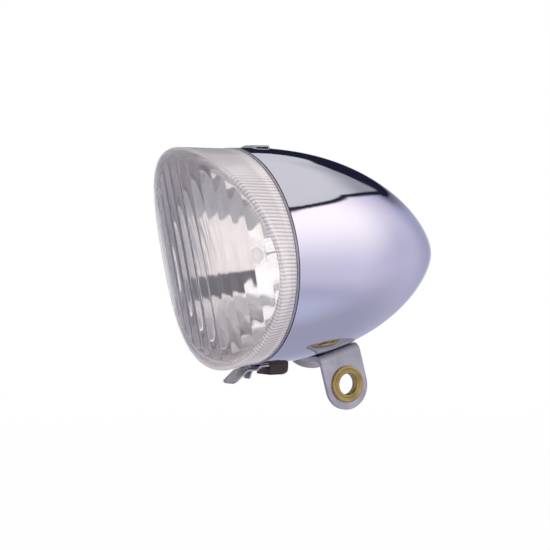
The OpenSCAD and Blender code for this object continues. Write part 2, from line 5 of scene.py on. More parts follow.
import bmesh
import bpy
import numpy as np
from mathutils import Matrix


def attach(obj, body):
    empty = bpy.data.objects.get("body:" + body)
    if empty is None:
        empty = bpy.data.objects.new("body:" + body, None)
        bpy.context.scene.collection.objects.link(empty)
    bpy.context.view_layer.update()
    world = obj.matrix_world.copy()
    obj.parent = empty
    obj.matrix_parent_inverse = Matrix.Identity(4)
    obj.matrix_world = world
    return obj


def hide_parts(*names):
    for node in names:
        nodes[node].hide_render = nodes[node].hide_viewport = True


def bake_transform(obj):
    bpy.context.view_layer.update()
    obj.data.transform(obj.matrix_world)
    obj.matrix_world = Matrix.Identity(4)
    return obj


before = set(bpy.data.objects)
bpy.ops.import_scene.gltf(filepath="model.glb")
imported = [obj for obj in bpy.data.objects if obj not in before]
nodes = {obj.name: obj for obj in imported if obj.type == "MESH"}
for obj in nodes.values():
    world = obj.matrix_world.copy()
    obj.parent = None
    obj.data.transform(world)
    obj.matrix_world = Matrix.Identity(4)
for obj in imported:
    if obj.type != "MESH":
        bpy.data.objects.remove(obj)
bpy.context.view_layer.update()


# Camera: the lamp is looked at from its front right, nearly level, from 0.9 m.
# Its own drawing frame starts at the middle of the shell's mouth, in millimetres.

MOUTH = np.array([-8.35, -36.077476, 41.817639])
AZIMUTH = math.radians(57.29)
ELEVATION = math.radians(1.766)
DISTANCE = 900.0
PIXELS_PER_MM = 3.1224
FRAME_WIDTH = 550
SENSOR_WIDTH = 36
MOUTH_SEEN = (238.765, 256.555)


def placed(points):
    """Points drawn round the mouth's centre in millimetres, as metres in the frame."""
    return (np.asarray(points, float) + MOUTH) / 1000


def direction(azimuth, height):
    """Unit vectors towards an azimuth, counted from the lamp's front, and a height, in radians.

    The azimuth a and the height h give (cos h sin a, -cos h cos a, sin h)."""
    level = np.cos(height)
    return np.stack([level * np.sin(azimuth), -level * np.cos(azimuth), np.sin(height)], -1)


view_data = bpy.data.cameras.new("view_camera")
view_data.lens = SENSOR_WIDTH * DISTANCE * PIXELS_PER_MM / FRAME_WIDTH
view_data.shift_x = (FRAME_WIDTH / 2 - MOUTH_SEEN[0]) / FRAME_WIDTH
view_data.shift_y = -(FRAME_WIDTH / 2 - MOUTH_SEEN[1]) / FRAME_WIDTH
view_data.clip_end = 50
view_camera = bpy.data.objects.new("view_camera", view_data)
view_camera.location = placed(direction(AZIMUTH, ELEVATION) * DISTANCE)
view_camera.rotation_euler = (math.pi / 2 - ELEVATION, 0, AZIMUTH)
bpy.context.scene.collection.objects.link(view_camera)
bpy.context.scene.camera = view_camera
bpy.context.scene.view_settings.view_transform = "Standard"


# Studio: a pale floor under the lamp, a white surround, two soft lamps, and two light
# tents of glowing cloth. Metal mirrors one of them, and the glass shows the other.

FLOOR_Z = -130
FLOOR_REACH = 9000
FLOOR_NEAR_WHITE = 0.93
SURROUND_LIGHT = 0.45


class Paint:
    """One socket of a material. Arithmetic on it adds Math nodes."""

    def __init__(self, tree, socket=None):
        self.tree, self.socket = tree, socket

    def made(self, kind, settings=None, sockets=None, out=0):
        """A node of that kind, with its settings first, then its sockets' values or links."""
        node = self.tree.nodes.new(kind)
        for name, value in (settings or {}).items():
            setattr(node, name, value)
        for name, value in (sockets or {}).items():
            if isinstance(value, Paint):
                self.tree.links.new(value.socket, node.inputs[name])
            else:
                node.inputs[name].default_value = value
        return Paint(self.tree, node.outputs[out])

    def maths(self, operation, *values):
        """A Math node's result for Paints and numbers."""
        return self.made("ShaderNodeMath", {"operation": operation}, dict(enumerate(values)))

    def __add__(self, other):
        return self.maths("ADD", self, other)

    def __radd__(self, other):
        return self.maths("ADD", other, self)

    def __sub__(self, other):
        return self.maths("SUBTRACT", self, other)

    def __rsub__(self, other):
        return self.maths("SUBTRACT", other, self)

    def __mul__(self, other):
        return self.maths("MULTIPLY", self, other)

    def __rmul__(self, other):
        return self.maths("MULTIPLY", other, self)

    def most(self, other):
        """The larger of the two."""
        return self.maths("MAXIMUM", self, other)

    def between(self, low, high):
        """0 below low, 1 above high, and smooth from one to the other."""
        return self.made("ShaderNodeMapRange", {"interpolation_type": "SMOOTHSTEP"},
                         {"Value": self, "From Min": low, "From Max": high})

    def spots(self, per_metre, detail=2.0, roughness=0.5, stretch=(1, 1, 1)):
        """Soft noise from 0 to 1 on Object coordinates, which are multiplied by stretch first.

        A number below 1 there draws the spots out along that axis, and one above 1 packs them."""
        place = self.made("ShaderNodeTexCoord", out=3)
        place = self.made("ShaderNodeMapping", {"vector_type": "POINT"},
                          {"Vector": place, "Scale": stretch})
        return self.made("ShaderNodeTexNoise", None, {"Vector": place, "Scale": per_metre,
                                                      "Detail": detail, "Roughness": roughness})

    def mixed(self, first, second):
        """The first colour where self is 0, the second where it is 1."""
        return self.made("ShaderNodeMix", {"data_type": "RGBA"},
                         {0: self, 6: (*first, 1), 7: (*second, 1)}, out=2)

    def bump(self, height, strength, distance):
        """A surface direction for Normal that follows the height."""
        return self.made("ShaderNodeBump", None,
                         {"Height": height, "Strength": strength, "Distance": distance})

    def shown(self):
        """Makes this socket what the material's surface shows."""
        self.tree.links.new(self.socket, self.tree.nodes["Material Output"].inputs["Surface"])


def finish(name, **fixed):
    """A new Principled material. Returns it, its shader node and a Paint to write more with."""
    material = bpy.data.materials.new(name)
    material.use_nodes = True
    shader = material.node_tree.nodes["Principled BSDF"]
    for socket, value in fixed.items():
        shader.inputs[socket.replace("_", " ")].default_value = value
    return material, shader, Paint(material.node_tree)


def feed(shader, **links):
    """Links Paints to the shader's varying sockets."""
    for socket, paint in links.items():
        paint.tree.links.new(paint.socket, shader.inputs[socket.replace("_", " ")])


def surface(name, points, faces, material, curved=True):
    """A mesh object from an array of millimetre points and lists of quads and triangles.

    It is shaded as one curved surface, unless curved is False."""
    mesh = bpy.data.meshes.new(name)
    mesh.from_pydata(placed(points).tolist(), [], faces)
    mesh.update()
    mesh.polygons.foreach_set("use_smooth", np.full(len(mesh.polygons), curved))
    mesh.materials.append(material)
    piece = bpy.data.objects.new(name, mesh)
    bpy.context.scene.collection.objects.link(piece)
    return piece


def grid_faces(rows, columns, round_columns=True, round_rows=False):
    """Quads over a grid numbered row by row, closed in either direction if it is round."""
    r = np.arange(rows if round_rows else rows - 1)[:, None]
    c = np.arange(columns if round_columns else columns - 1)[None, :]
    r2, c2 = (r + 1) % rows, (c + 1) % columns
    corners = [r * columns + c, r * columns + c2, r2 * columns + c2, r2 * columns + c]
    return np.stack(np.broadcast_arrays(*corners), -1).reshape(-1, 4)


def shown_paint(p):
    """1 for rays from the camera, a mirror or a glass, else 0."""
    path = p.made("ShaderNodeLightPath").socket.node
    rays = ("Is Camera Ray", "Is Glossy Ray", "Is Transmission Ray")
    camera, mirror, glass = [Paint(p.tree, path.outputs[ray]) for ray in rays]
    return camera.most(mirror).most(glass)


floor_paint, floor_shader, p = finish("studio_floor", Roughness=0.9)
feed(floor_shader,
     Base_Color=p.spots(3, 2).between(0.2, 0.9).mixed((0.86, 0.86, 0.87), (0.9, 0.9, 0.9)))
white = p.made("ShaderNodeEmission", None, {"Color": (1, 1, 1, 1), "Strength": 1.0})
spot = p.made("ShaderNodeTexCoord", out=3)
reach = p.made("ShaderNodeVectorMath", {"operation": "LENGTH"}, {"Vector": spot}, out=1)
share = FLOOR_NEAR_WHITE + reach.between(0.25, 1.1) * (1 - FLOOR_NEAR_WHITE)
p.made("ShaderNodeMixShader", None, {0: shown_paint(p) * share, 1: Paint(p.tree, floor_shader.outputs[0]),
                                     2: white}).shown()
corners = FLOOR_REACH * np.array([[-1, -1, 0], [1, -1, 0], [1, 1, 0], [-1, 1, 0]]) + [0, 0, FLOOR_Z]
floor = surface("floor", corners, [(0, 1, 2, 3)], floor_paint, curved=False)
floor.visible_glossy = floor.visible_transmission = False

world = bpy.data.worlds.new("surround")
world.use_nodes = True
bpy.context.scene.world = world
sky = world.node_tree.nodes["Background"]
sky.inputs["Color"].default_value = (1, 1, 1, 1)
sky_light = SURROUND_LIGHT + shown_paint(Paint(world.node_tree)) * (1 - SURROUND_LIGHT)
world.node_tree.links.new(sky_light.socket, sky.inputs["Strength"])


def lamp(name, place, size, power, colour):
    """A square soft lamp aimed at the object, with the place in metres."""
    data = bpy.data.lights.new(name, "AREA")
    data.size, data.energy, data.color = size, power, colour
    light = bpy.data.objects.new(name, data)
    light.location = place
    bpy.context.scene.collection.objects.link(light)
    aim = np.array(place) / np.linalg.norm(place)
    light.rotation_euler = (math.acos(aim[2]), 0, math.atan2(aim[1], aim[0]) + math.pi / 2)
    light.visible_glossy = light.visible_transmission = False


lamp("key_lamp", place=(0.9, -1.0, 1.3), size=0.8, power=30, colour=(1.0, 0.98, 0.96))
lamp("fill_lamp", place=(-1.2, -0.8, 0.7), size=1.0, power=10, colour=(0.96, 0.97, 1.0))


def smooth(value, low, high):
    """0 below low, 1 above high, and an S-curve between them."""
    t = np.clip((value - low) / (high - low), 0, 1)
    return t * t * (3 - 2 * t)


def span(value, start, full, fade, end):
    """0 up to start, 1 from full to fade, 0 past end, and S-curves between them."""
    return smooth(value, start, full) * smooth(value, end, fade)


def blend_colours(first, second, t):
    """The first colour where t is 0, the second where it is 1."""
    return np.asarray(first) * (1 - t[..., None]) + np.asarray(second) * t[..., None]


def roof_edge(a):
    """Height of the roof's edge at an azimuth a, in degrees.

    It is 41.5 from 140 to 172. Past that it falls by 0.40 a degree and faster with the square,
    to 12 at the least. Below 140 it falls with the square, and below 127 steeply. Past 250 it is
    29.5. All along it ripples by half a degree."""
    past = np.maximum(a - 172, 0)
    short = 0.055 * np.maximum(140 - a, 0) ** 2 + 2.5 * np.maximum(127 - a, 0)
    edge = 41.5 - 0.40 * past - 0.0022 * past ** 2 - np.minimum(short, 24)
    return np.where(a > 250, 29.5, np.maximum(edge, 12)) + 0.5 * np.sin(np.radians(a * 8))


def door(a, height):
    """How dark the door on the left is: full between a slanting foot and an arched head.

    Dusk goes on below the foot for ten degrees, and starts further to the right."""
    foot = 24 - 0.45 * (a - 206)
    head = 31 + 3.5 * span(a, 206, 213, 217, 224)
    opening = span(a, 203, 209, 243, 250) * smooth(height, foot - 2, foot)
    opening *= smooth(height, head + 1.5, head)
    dusk = 0.75 * span(a, 192, 206, 243, 250) * smooth(height, foot - 10, foot)
    return opening + dusk * (height < np.minimum(foot, roof_edge(a)))


def metal_view(azimuth, height):
    """What metal sees at an azimuth and a height, in degrees.

    Lavender grey cloth below, white on the far right under the roof, and a dark gap under
    the roof that falls towards the left and opens to a door there."""
    a = azimuth % 360
    right = smooth(a, 176, 146)
    cloth = blend_colours((0.39, 0.39, 0.52), (0.58, 0.56, 0.74), smooth(height, -42, -4))
    cloth = blend_colours(cloth, (0.68, 0.65, 0.83), right * smooth(height, -34, -12))
    cloth = blend_colours(cloth, (0.52, 0.54, 0.73), smooth(a, 172, 140) * smooth(height, -22, -40))
    cloth = blend_colours(cloth, (0.40, 0.41, 0.57), smooth(a, 182, 206) * smooth(height, -30, 2))
    lit = smooth(a, 200, 146) * smooth(height, 3 - 19 * right, 34)
    cloth = blend_colours(cloth, (1.28, 1.20, 1.27), lit)
    behind = span(a, 210, 228, 252, 270) * span(height, -16, -6, 2, 12)
    cloth = blend_colours(cloth, (1.25, 1.25, 1.25), behind)
    roof = blend_colours((0.66, 0.68, 0.72), (0.74, 0.73, 0.78), smooth(height, 36, 50))
    corner = span(a, 172, 192, 208, 222) * smooth(height, 48, 34)
    roof = blend_colours(roof, (0.36, 0.37, 0.42), corner)
    above = height - roof_edge(a)
    colour = blend_colours(cloth, roof, smooth(above, -0.4, 0.4))
    gap = np.where(above < 0, smooth(above, -2.6, -0.9), smooth(above, 1.1, 0.3))
    return blend_colours(colour, (0.015, 0.015, 0.035), np.clip(gap + door(a, height), 0, 1))


def glass_view(azimuth, height):
    """What shows through the lens at an azimuth and a height, mostly by way of the reflector.

    A bright table stands low in front of the lamp, with a dark room over its right half and a
    glow above that room. A grey wall is on the left, and grey cloth all round."""
    a = (azimuth + 180) % 360 - 180
    table_foot = -52 + 0.9 * np.clip(18 - a, 0, 30)
    facing = span(a, -44, -30, 43, 50)
    colour = blend_colours((0.54, 0.53, 0.55), (0.46, 0.46, 0.49), smooth(height, 30, -50))
    table = blend_colours((1.28, 1.15, 1.12), (1.62, 1.58, 1.56), smooth(a, 18, 0))
    colour = blend_colours(colour, table, facing * smooth(height, table_foot, table_foot + 4))
    colour = blend_colours(colour, (0.66, 0.64, 0.66), facing * smooth(height, 41, 45))
    glow = span(a, 12, 26, 60, 75) * span(height, 43, 46, 60, 70)
    colour = blend_colours(colour, (1.1, 1.0, 1.0), glow)
    room = span(a, 9, 12, 55, 62) * span(height, 15, 18, 39, 42)
    colour = blend_colours(colour, (0.015, 0.02, 0.035), room)
    return blend_colours(colour, (0.50, 0.48, 0.50), span(a, -170, -120, -90, -75))


def light_tent(name, radius, view, rows):
    """A sphere of glowing cloth, radius in millimetres. The view gives the colour in each direction."""
    columns = 2 * rows + 1
    azimuth, height = np.meshgrid(np.linspace(-180, 180, columns), np.linspace(-89, 89, rows))
    points = radius * direction(np.radians(azimuth), np.radians(height)).reshape(-1, 3)
    material = bpy.data.materials.new(name)
    material.use_nodes = True
    material.node_tree.nodes.remove(material.node_tree.nodes["Principled BSDF"])
    p = Paint(material.node_tree)
    cloth = p.made("ShaderNodeAttribute", {"attribute_name": "cloth"})
    p.made("ShaderNodeEmission", None, {"Color": cloth, "Strength": 1.0}).shown()
    tent = surface(name, points, grid_faces(rows, columns, round_columns=False).tolist(), material)
    colours = view(azimuth, height).reshape(-1, 3)
    colours = np.hstack([colours, np.ones((len(colours), 1))]).astype(np.float32)
    tent.data.attributes.new("cloth", "FLOAT_COLOR", "POINT").data.foreach_set("color", colours.ravel())
    tent.visible_camera = tent.visible_diffuse = tent.visible_shadow = False
    return tent


light_tent("metal_tent", radius=4000, view=metal_view, rows=440).visible_transmission = False
light_tent("glass_tent", radius=3900, view=glass_view, rows=240).visible_glossy = False


# Shell: the bullet-shaped housing is drawn from thin steel and chromed. Its mouth
# leans forward. A notch and a slot on top take the hook of the lens unit.

RIM_R = 35.0
SHELL_LEN = 75.7
SHELL_WALL = 0.8
NOSE_ALONG = 2.33
NOSE_ACROSS = 1.34
MOUTH_LEAN = math.radians(5)
LEAN_ENDS = 4.5
TOP_HOLES = [(0.0, 4.9), (7.6, 10.2)]
AROUND_SHELL = 450
HOLE_COLUMNS = 8
SHELL_ROWS = 84


def shell_radius(y):
    """The housing's radius at a distance y behind its mouth: a superellipse, nearly straight at first.

    It is the rim's radius times (1 - (y / length) ^ NOSE_ALONG) ^ (1 / NOSE_ACROSS)."""
    return RIM_R * (1 - (np.clip(y, 0, SHELL_LEN) / SHELL_LEN) ** NOSE_ALONG) ** (1 / NOSE_ACROSS)


def about_axis(r, y, a):
    """Points at a radius r, a place y and an angle a about the lamp's axis: (r sin a, y, r cos a)."""
    return np.stack(np.broadcast_arrays(r * np.sin(a), y, r * np.cos(a)), -1)


def walled(piece, thickness, offset):
    """Gives the piece's skin a thickness in millimetres.

    The wall lies before its faces for an offset of 1, behind them for -1, and half each way for 0."""
    wall = piece.modifiers.new("wall", "SOLIDIFY")
    wall.thickness, wall.offset = thickness / 1000, offset
    return wall


def rounded(piece, edge, angle=50):
    """Breaks the piece's edges that are sharper than the angle, by the edge width in millimetres."""
    rounding = piece.modifiers.new("rounding", "BEVEL")
    rounding.width, rounding.segments, rounding.limit_method = edge / 1000, 2, "ANGLE"
    rounding.angle_limit, rounding.harden_normals = math.radians(angle), True
    return piece


chrome, chrome_shader, p = finish("chrome", Metallic=1.0)
wiped = p.spots(55, 4, 0.6, (1, 0.25, 1))
dust = p.spots(900, 3, 0.7).between(0.62, 0.8)
feed(chrome_shader,
     Base_Color=wiped.between(0.3, 0.75).mixed((0.80, 0.79, 0.84), (0.77, 0.77, 0.82)),
     Roughness=0.03 + wiped * 0.03 + dust * 0.05,
     Normal=p.bump(p.spots(160, 3, 0.5), 0.04, 0.0002))

# The rows crowd towards the nose, and one lies on each edge of a hole. Near the mouth they lean.
hole_edges = [y for hole in TOP_HOLES for y in hole if y > 0] + [LEAN_ENDS]
back = SHELL_LEN * (1 - (1 - np.linspace(0, 1, SHELL_ROWS)) ** 1.8)
back = back[np.min(np.abs(back[:, None] - np.array(hole_edges)), 1) > 0.2]
rows_y = np.sort(np.concatenate([back, hole_edges]))[:-1]
a = np.linspace(0, 2 * np.pi, AROUND_SHELL, endpoint=False)
leaning = np.clip(1 - rows_y / LEAN_ENDS, 0, 1)[:, None]
y = rows_y[:, None] - RIM_R * math.tan(MOUTH_LEAN) * np.cos(a) * leaning
points = about_axis(shell_radius(y), y, a).reshape(-1, 3)
faces = grid_faces(len(rows_y), AROUND_SHELL)
row, column = faces[:, 0] // AROUND_SHELL, faces[:, 0] % AROUND_SHELL
middle = (rows_y[row] + rows_y[row + 1]) / 2
from_top = np.abs((column + 0.5 + AROUND_SHELL / 2) % AROUND_SHELL - AROUND_SHELL / 2)
cut = np.zeros(len(faces), bool)
for low, high in TOP_HOLES:
    cut |= (middle > low) & (middle < high) & (from_top < HOLE_COLUMNS)
last = (len(rows_y) - 1) * AROUND_SHELL
fan = [(last + k, last + (k + 1) % AROUND_SHELL, len(points)) for k in range(AROUND_SHELL)]
points = np.vstack([points, [[0, SHELL_LEN, 0]]])
shell_skin = surface("shell_skin", points, faces[~cut].tolist() + fan, chrome)
walled(shell_skin, SHELL_WALL, -1)
rounded(shell_skin, 0.22)
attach(shell_skin, "shell_body")
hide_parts("shell")


# Bulb holder and bulb: the holder is pressed from brass. The bulb has a blown
# globe, a stem, support wires with a filament, and a screw cap with a solder foot.

FILAMENT_Y = 12.01
CAP_Y = 19.01
CAP_R = 4.7
CAP_LEN = 9.5
CAP_WALL = 0.3
THREAD_PITCH = 1.81
THREAD_H = 0.22
CAP_FOOT_IN = 1.9
CAP_RIM_ROLL = 0.55
GLOBE_R = 5.25
GLOBE_Y = FILAMENT_Y + 0.8
GLOBE_WALL = 0.45
NECK_GLASS_R = 3.8
COIL_TURNS = 10
COIL_R = 0.42
COIL_HALF = 1.9
COIL_WIRE_R = 0.08
POST_R = 0.16


def mottled(name, first, second, spots, dull, dull_spots, **fixed):
    """A finish whose colour wanders between two.

    Its roughness is dull's first value, and up to dull's second more."""
    material, shader, p = finish(name, **fixed)
    feed(shader, Base_Color=p.spots(*spots).mixed(first, second),
         Roughness=dull[0] + p.spots(*dull_spots) * dull[1])
    return material


brass, brass_shader, p = finish("brass", Metallic=1.0)
tarnish = p.spots(240, 4, 0.6)
feed(brass_shader,
     Base_Color=tarnish.between(0.3, 0.75).mixed((0.56, 0.42, 0.15), (0.40, 0.29, 0.10)),
     Roughness=0.24 + tarnish * 0.2,
     Normal=p.bump(p.spots(900, 2, 0.6), 0.1, 0.0001))
thin_glass, thin_shader, p = finish("bulb_glass", Transmission_Weight=1.0, IOR=1.5)
feed(thin_shader,
     Base_Color=p.spots(200, 2).between(0.2, 0.8).mixed((0.97, 0.97, 0.97), (0.94, 0.95, 0.96)),
     Roughness=0.01 + p.spots(400, 2) * 0.02)
tungsten = mottled("tungsten_wire", (0.30, 0.30, 0.32), (0.42, 0.41, 0.42), (2000, 2),
                   (0.3, 0.2), (1500, 2), Metallic=1.0)
vitrite = mottled("black_glass", (0.015, 0.012, 0.02), (0.03, 0.025, 0.04), (500, 3),
                  (0.12, 0.15), (700, 2), Coat_Weight=0.5)
solder = mottled("solder", (0.5, 0.5, 0.5), (0.66, 0.66, 0.64), (900, 3),
                 (0.3, 0.25), (800, 2), Metallic=1.0)


def closed(name, points, faces, material):
    """A closed piece: doubled points are merged, and the faces turned outwards."""
    piece = surface(name, points, faces, material)
    work = bmesh.new()
    work.from_mesh(piece.data)
    bmesh.ops.remove_doubles(work, verts=work.verts, dist=1e-7)
    bmesh.ops.dissolve_degenerate(work, edges=work.edges, dist=1e-8)
    bmesh.ops.recalc_face_normals(work, faces=work.faces)
    work.to_mesh(piece.data)
    work.free()
    piece.data.polygons.foreach_set("use_smooth", np.full(len(piece.data.polygons), True))
    return piece


def leaned(points):
    """Points turned by the mouth's lean about X at its centre, so that the top comes forward."""
    x, y, z = np.moveaxis(np.asarray(points, float), -1, 0)
    level, rise = math.cos(MOUTH_LEAN), math.sin(MOUTH_LEAN)
    return np.stack([x, y * level - z * rise, y * rise + z * level], -1)


def round_points(profile, around):
    """Points of a profile (radius, y) carried round the leaning axis, one row for each profile point."""
    r, y = np.asarray(profile, float).T[:, :, None]
    return leaned(about_axis(r, y, np.linspace(0, 2 * np.pi, around, endpoint=False))).reshape(-1, 3)


def turned(name, profile, around, material, ring=False):
    """A closed piece turned from a profile that starts and ends on the axis, or is a ring itself."""
    faces = grid_faces(len(profile), around, round_rows=ring).tolist()
    return closed(name, round_points(profile, around), faces, material)


def softened(node, edge, material, body, angle=35):
    """A merged copy of a solid with its sharp edges broken. It stands for that solid."""
    mesh = nodes[node].data.copy()
    work = bmesh.new()
    work.from_mesh(mesh)
    bmesh.ops.remove_doubles(work, verts=work.verts, dist=2e-6)
    bmesh.ops.dissolve_limit(work, angle_limit=math.radians(1.5), verts=work.verts, edges=work.edges)
    work.to_mesh(mesh)
    work.free()
    mesh.polygons.foreach_set("use_smooth", np.full(len(mesh.polygons), True))
    mesh.materials.clear()
    mesh.materials.append(material)
    piece = bpy.data.objects.new(node + "_finished", mesh)
    bpy.context.scene.collection.objects.link(piece)
    rounded(piece, edge, angle)
    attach(piece, body)
    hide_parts(node)


def eased(corners, reach, steps=7):
    """A path with rounded corners: each is cut back by reach on both sides and bridged by a parabola."""
    c = np.asarray(corners, float)
    p, before, after = c[1:-1], c[:-2] - c[1:-1], c[2:] - c[1:-1]
    lengths = [np.linalg.norm(side, axis=1) for side in (before, after)]
    cut_back = np.minimum(reach, 0.48 * np.minimum(*lengths))
    start = p + before * (cut_back / lengths[0])[:, None]
    end = p + after * (cut_back / lengths[1])[:, None]
    t = np.linspace(0, 1, steps)[None, :, None]
    curve = (1 - t) ** 2 * start[:, None] + 2 * t * (1 - t) * p[:, None] + t ** 2 * end[:, None]
    return np.vstack([c[:1], curve.reshape(-1, c.shape[1]), c[-1:]])


def tube(path, radius, across, sides=10):
    """Points and faces of a round wire along a path of at least three points, closed at both ends.

    Each ring lies square to the path: the point at angle a is path + r (side cos a + up sin a),
    where side is square to the path and to the across direction, and up is square to both."""
    ahead = np.gradient(path, axis=0)
    ahead /= np.linalg.norm(ahead, axis=1)[:, None]
    side = np.cross(ahead, across)
    side /= np.linalg.norm(side, axis=1)[:, None]
    up = np.cross(side, ahead)
    a = np.linspace(0, 2 * np.pi, sides, endpoint=False)[None, :, None]
    rings = path[:, None] + radius * (side[:, None] * np.cos(a) + up[:, None] * np.sin(a))
    faces = grid_faces(len(path), sides).tolist()
    last = (len(path) - 1) * sides
    return rings.reshape(-1, 3), faces + [list(range(sides)), list(range(last + sides - 1, last - 1, -1))]


# The globe is a sphere drawn in to a neck. Its inside runs parallel, a wall further in.
a = np.linspace(0, math.pi - math.asin((NECK_GLASS_R + 0.5) / GLOBE_R), 40)
blown = np.stack([GLOBE_R * np.sin(a), GLOBE_Y - GLOBE_R * np.cos(a)], -1)
neck = [blown[-1], [NECK_GLASS_R, blown[-1, 1] + 1.1], [NECK_GLASS_R, CAP_Y + 2.5]]
outside = np.vstack([blown, eased(neck, 1.0, 10)[1:]])
slope = np.gradient(outside, axis=0)
slope /= np.linalg.norm(slope, axis=1)[:, None]
inside = outside + GLOBE_WALL * np.stack([-slope[:, 1], slope[:, 0]], -1)
inside[0, 0] = 0
globe = turned("bulb_globe", np.vstack([outside, inside[::-1]]), 96, thin_glass)
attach(globe, "lens_unit")
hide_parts("bulb_glass")

profile = [[0, CAP_Y - 0.8], [0.9, CAP_Y - 0.4], [1.1, CAP_Y + 1.2],
           [3.3, CAP_Y + 2.5], [3.3, CAP_Y + 3.1], [0, CAP_Y + 3.1]]
stem = turned("bulb_bead", eased(profile, 0.5), 48, thin_glass)
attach(stem, "lens_unit")
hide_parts("bulb_stem")

# The filament is a coil between two support wires, which are bent in towards the stem.
turn = np.linspace(0, COIL_TURNS * 2 * np.pi, COIL_TURNS * 20)
coil = np.stack([COIL_HALF * (2 * turn / turn[-1] - 1), FILAMENT_Y + COIL_R * np.cos(turn),
                 COIL_R * np.sin(turn)], -1)
wires = [tube(coil, COIL_WIRE_R, (1, 0, 0), 7)]
for side in (-COIL_HALF, COIL_HALF):
    post = [[side, FILAMENT_Y - 0.25, COIL_R], [side, FILAMENT_Y + 0.6, 0.1], [side, CAP_Y - 0.9, 0],
            [side / 2, CAP_Y - 0.2, 0]]
    wires.append(tube(eased(post, 0.5), POST_R, (0, 0, 1)))
wire_points = [wire[0] for wire in wires]
starts = np.cumsum([0] + [len(points) for points in wire_points])
faces = [[int(start + k) for k in face] for wire, start in zip(wires, starts) for face in wire[1]]
filament = closed("bulb_coil", leaned(np.vstack(wire_points)), faces, tungsten)
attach(filament, "lens_unit")
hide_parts("bulb_filament")

# The cap's radius waves once a turn and once a pitch, so that the thread winds round it. The
# cap narrows towards its foot, and its rim is rolled in.
a = np.linspace(0, 2 * np.pi, 72, endpoint=False)
y = np.linspace(0, CAP_LEN, 90)[:, None]
thread = THREAD_H * span(y, 1.2, 2.0, 7.8, 8.6) * np.cos(2 * np.pi * y / THREAD_PITCH - a)
r = np.minimum(CAP_R - THREAD_H + thread - CAP_FOOT_IN * smooth(y, 8.3, 9.6), CAP_R)
r -= CAP_RIM_ROLL * smooth(y, 0.45, 0.0)
points = leaned(about_axis(r, CAP_Y + y, a)).reshape(-1, 3)
cap = surface("bulb_thread", points, grid_faces(90, 72).tolist(), brass)
walled(cap, CAP_WALL, -1)
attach(cap, "lens_unit")
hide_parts("bulb_cap")
for name, paint in {"bulb_insulator": vitrite, "bulb_contact": solder}.items():
    nodes[name].data.materials.clear()
    nodes[name].data.materials.append(paint)
softened("bulb_holder", 0.12, brass, "lens_unit")
softened("holder_rivets", 0.25, brass, "lens_unit")


# Reflector: a spun metal parabola, bright plated inside, with a flat flange that
# the rim ring clamps, a short neck and a plate for the bulb holder.

FOCAL = 10.0
BOWL_R = 30.7
BOWL_WALL = 0.6
NECK_R = 6.9
NECK_LEN = 1.8
PLATE_R = NECK_R + 4.1
FLANGE_R = RIM_R - 2.05
FLANGE_Y = -1.55
bright, bright_shader, p = finish("bright_plating", Metallic=1.0)
film = p.spots(90, 4, 0.6)
feed(bright_shader,
     Base_Color=film.between(0.3, 0.8).mixed((0.90, 0.90, 0.90), (0.84, 0.84, 0.85)),
     Roughness=0.05 + film * 0.04,
     Normal=p.bump(p.spots(300, 3, 0.5), 0.08, 0.0002))
r = np.linspace(BOWL_R, NECK_R, 90)
bowl = np.stack([r, FLANGE_Y + (BOWL_R ** 2 - r ** 2) / (4 * FOCAL)], -1)
neck_y = bowl[-1, 1] + NECK_LEN
flange = [[FLANGE_R, FLANGE_Y], [BOWL_R + 0.3, FLANGE_Y]]
profile = np.vstack([flange, bowl, [[NECK_R, neck_y], [PLATE_R, neck_y]]])
faces = grid_faces(len(profile), 240).tolist()
reflector = surface("reflector_bowl", round_points(profile, 240), faces, bright)
walled(reflector, BOWL_WALL, 1)
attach(reflector, "lens_unit")
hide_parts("reflector")


# Lens: one clear moulding, a little milky with age. A leaning glass, curved from side
# to side, has upright ribs inside. Its flared side wall is finely ridged along the axis.

EDGE_R = 34.2
LIP = 1.2
DRAFT = 0.4
LENS_BACK = -0.9
GLASS_WALL = 2.2
GLASS_LEAN = math.radians(11.9)
CURVE_R = 75.0
GLASS_AHEAD = 7.95
GLASS_DEPTH = GLASS_AHEAD + EDGE_R ** 2 / (2 * CURVE_R)
GLASS_MILK = 0.05
BEVEL_H = 0.5
BEVEL_BULGE = 0.12
LAND = 1.9
RECESS = 0.7
RIDGES = 180
RIDGE_H = 0.16
RIB_PITCH = 5.6
RIB_H = 0.2
AROUND = 1080
QUARTER = AROUND // 4
ACROSS = np.arange(-QUARTER + 1, QUARTER)
STEPS = 26


def glass_y(x, z):
    """Place of the glass along the axis: a cylinder about an upright line, leaning forward.

    It is -(depth + z tan lean - x^2 / 2R), with R the radius that the glass is curved to."""
    return -(GLASS_DEPTH + z * math.tan(GLASS_LEAN) - x * x / (2 * CURVE_R))


def rib_depth(across):
    """Depth of the grooves between the round-backed ribs, at a distance across the glass.

    It is minus RIB_H times (1 - |sin(pi (across / pitch + 1/2))|)."""
    return -RIB_H * (1 - np.abs(np.sin(np.pi * (across / RIB_PITCH + 0.5))))


a = np.linspace(0, 2 * np.pi, AROUND, endpoint=False)
lip = LIP * (1 - np.cos(a)) / 2
groove = np.abs(((a * RIDGES / (2 * np.pi)) % 1) - 0.5) * 2
ridged = (1 - smooth(np.cos(a), 0.66, 0.90)) * (1 - smooth(-np.cos(a), 0.84, 0.95))


def wall_loop(radius, y, depth=0.0):
    """One loop of the side wall, with the grooves between its ridges cut in by depth."""
    return about_axis(radius - depth * ridged * groove, y, a)


def rear_loop(radius, y):
    """One loop parallel to the leaning mouth."""
    return leaned(about_axis(radius, y, a))


def glass_loop(inset, back=0.0):
    """A loop on the glass's front face, inset from its edge and moved back."""
    r = EDGE_R + lip - inset
    return about_axis(r, glass_y(r * np.sin(a), r * np.cos(a)) + back, a)


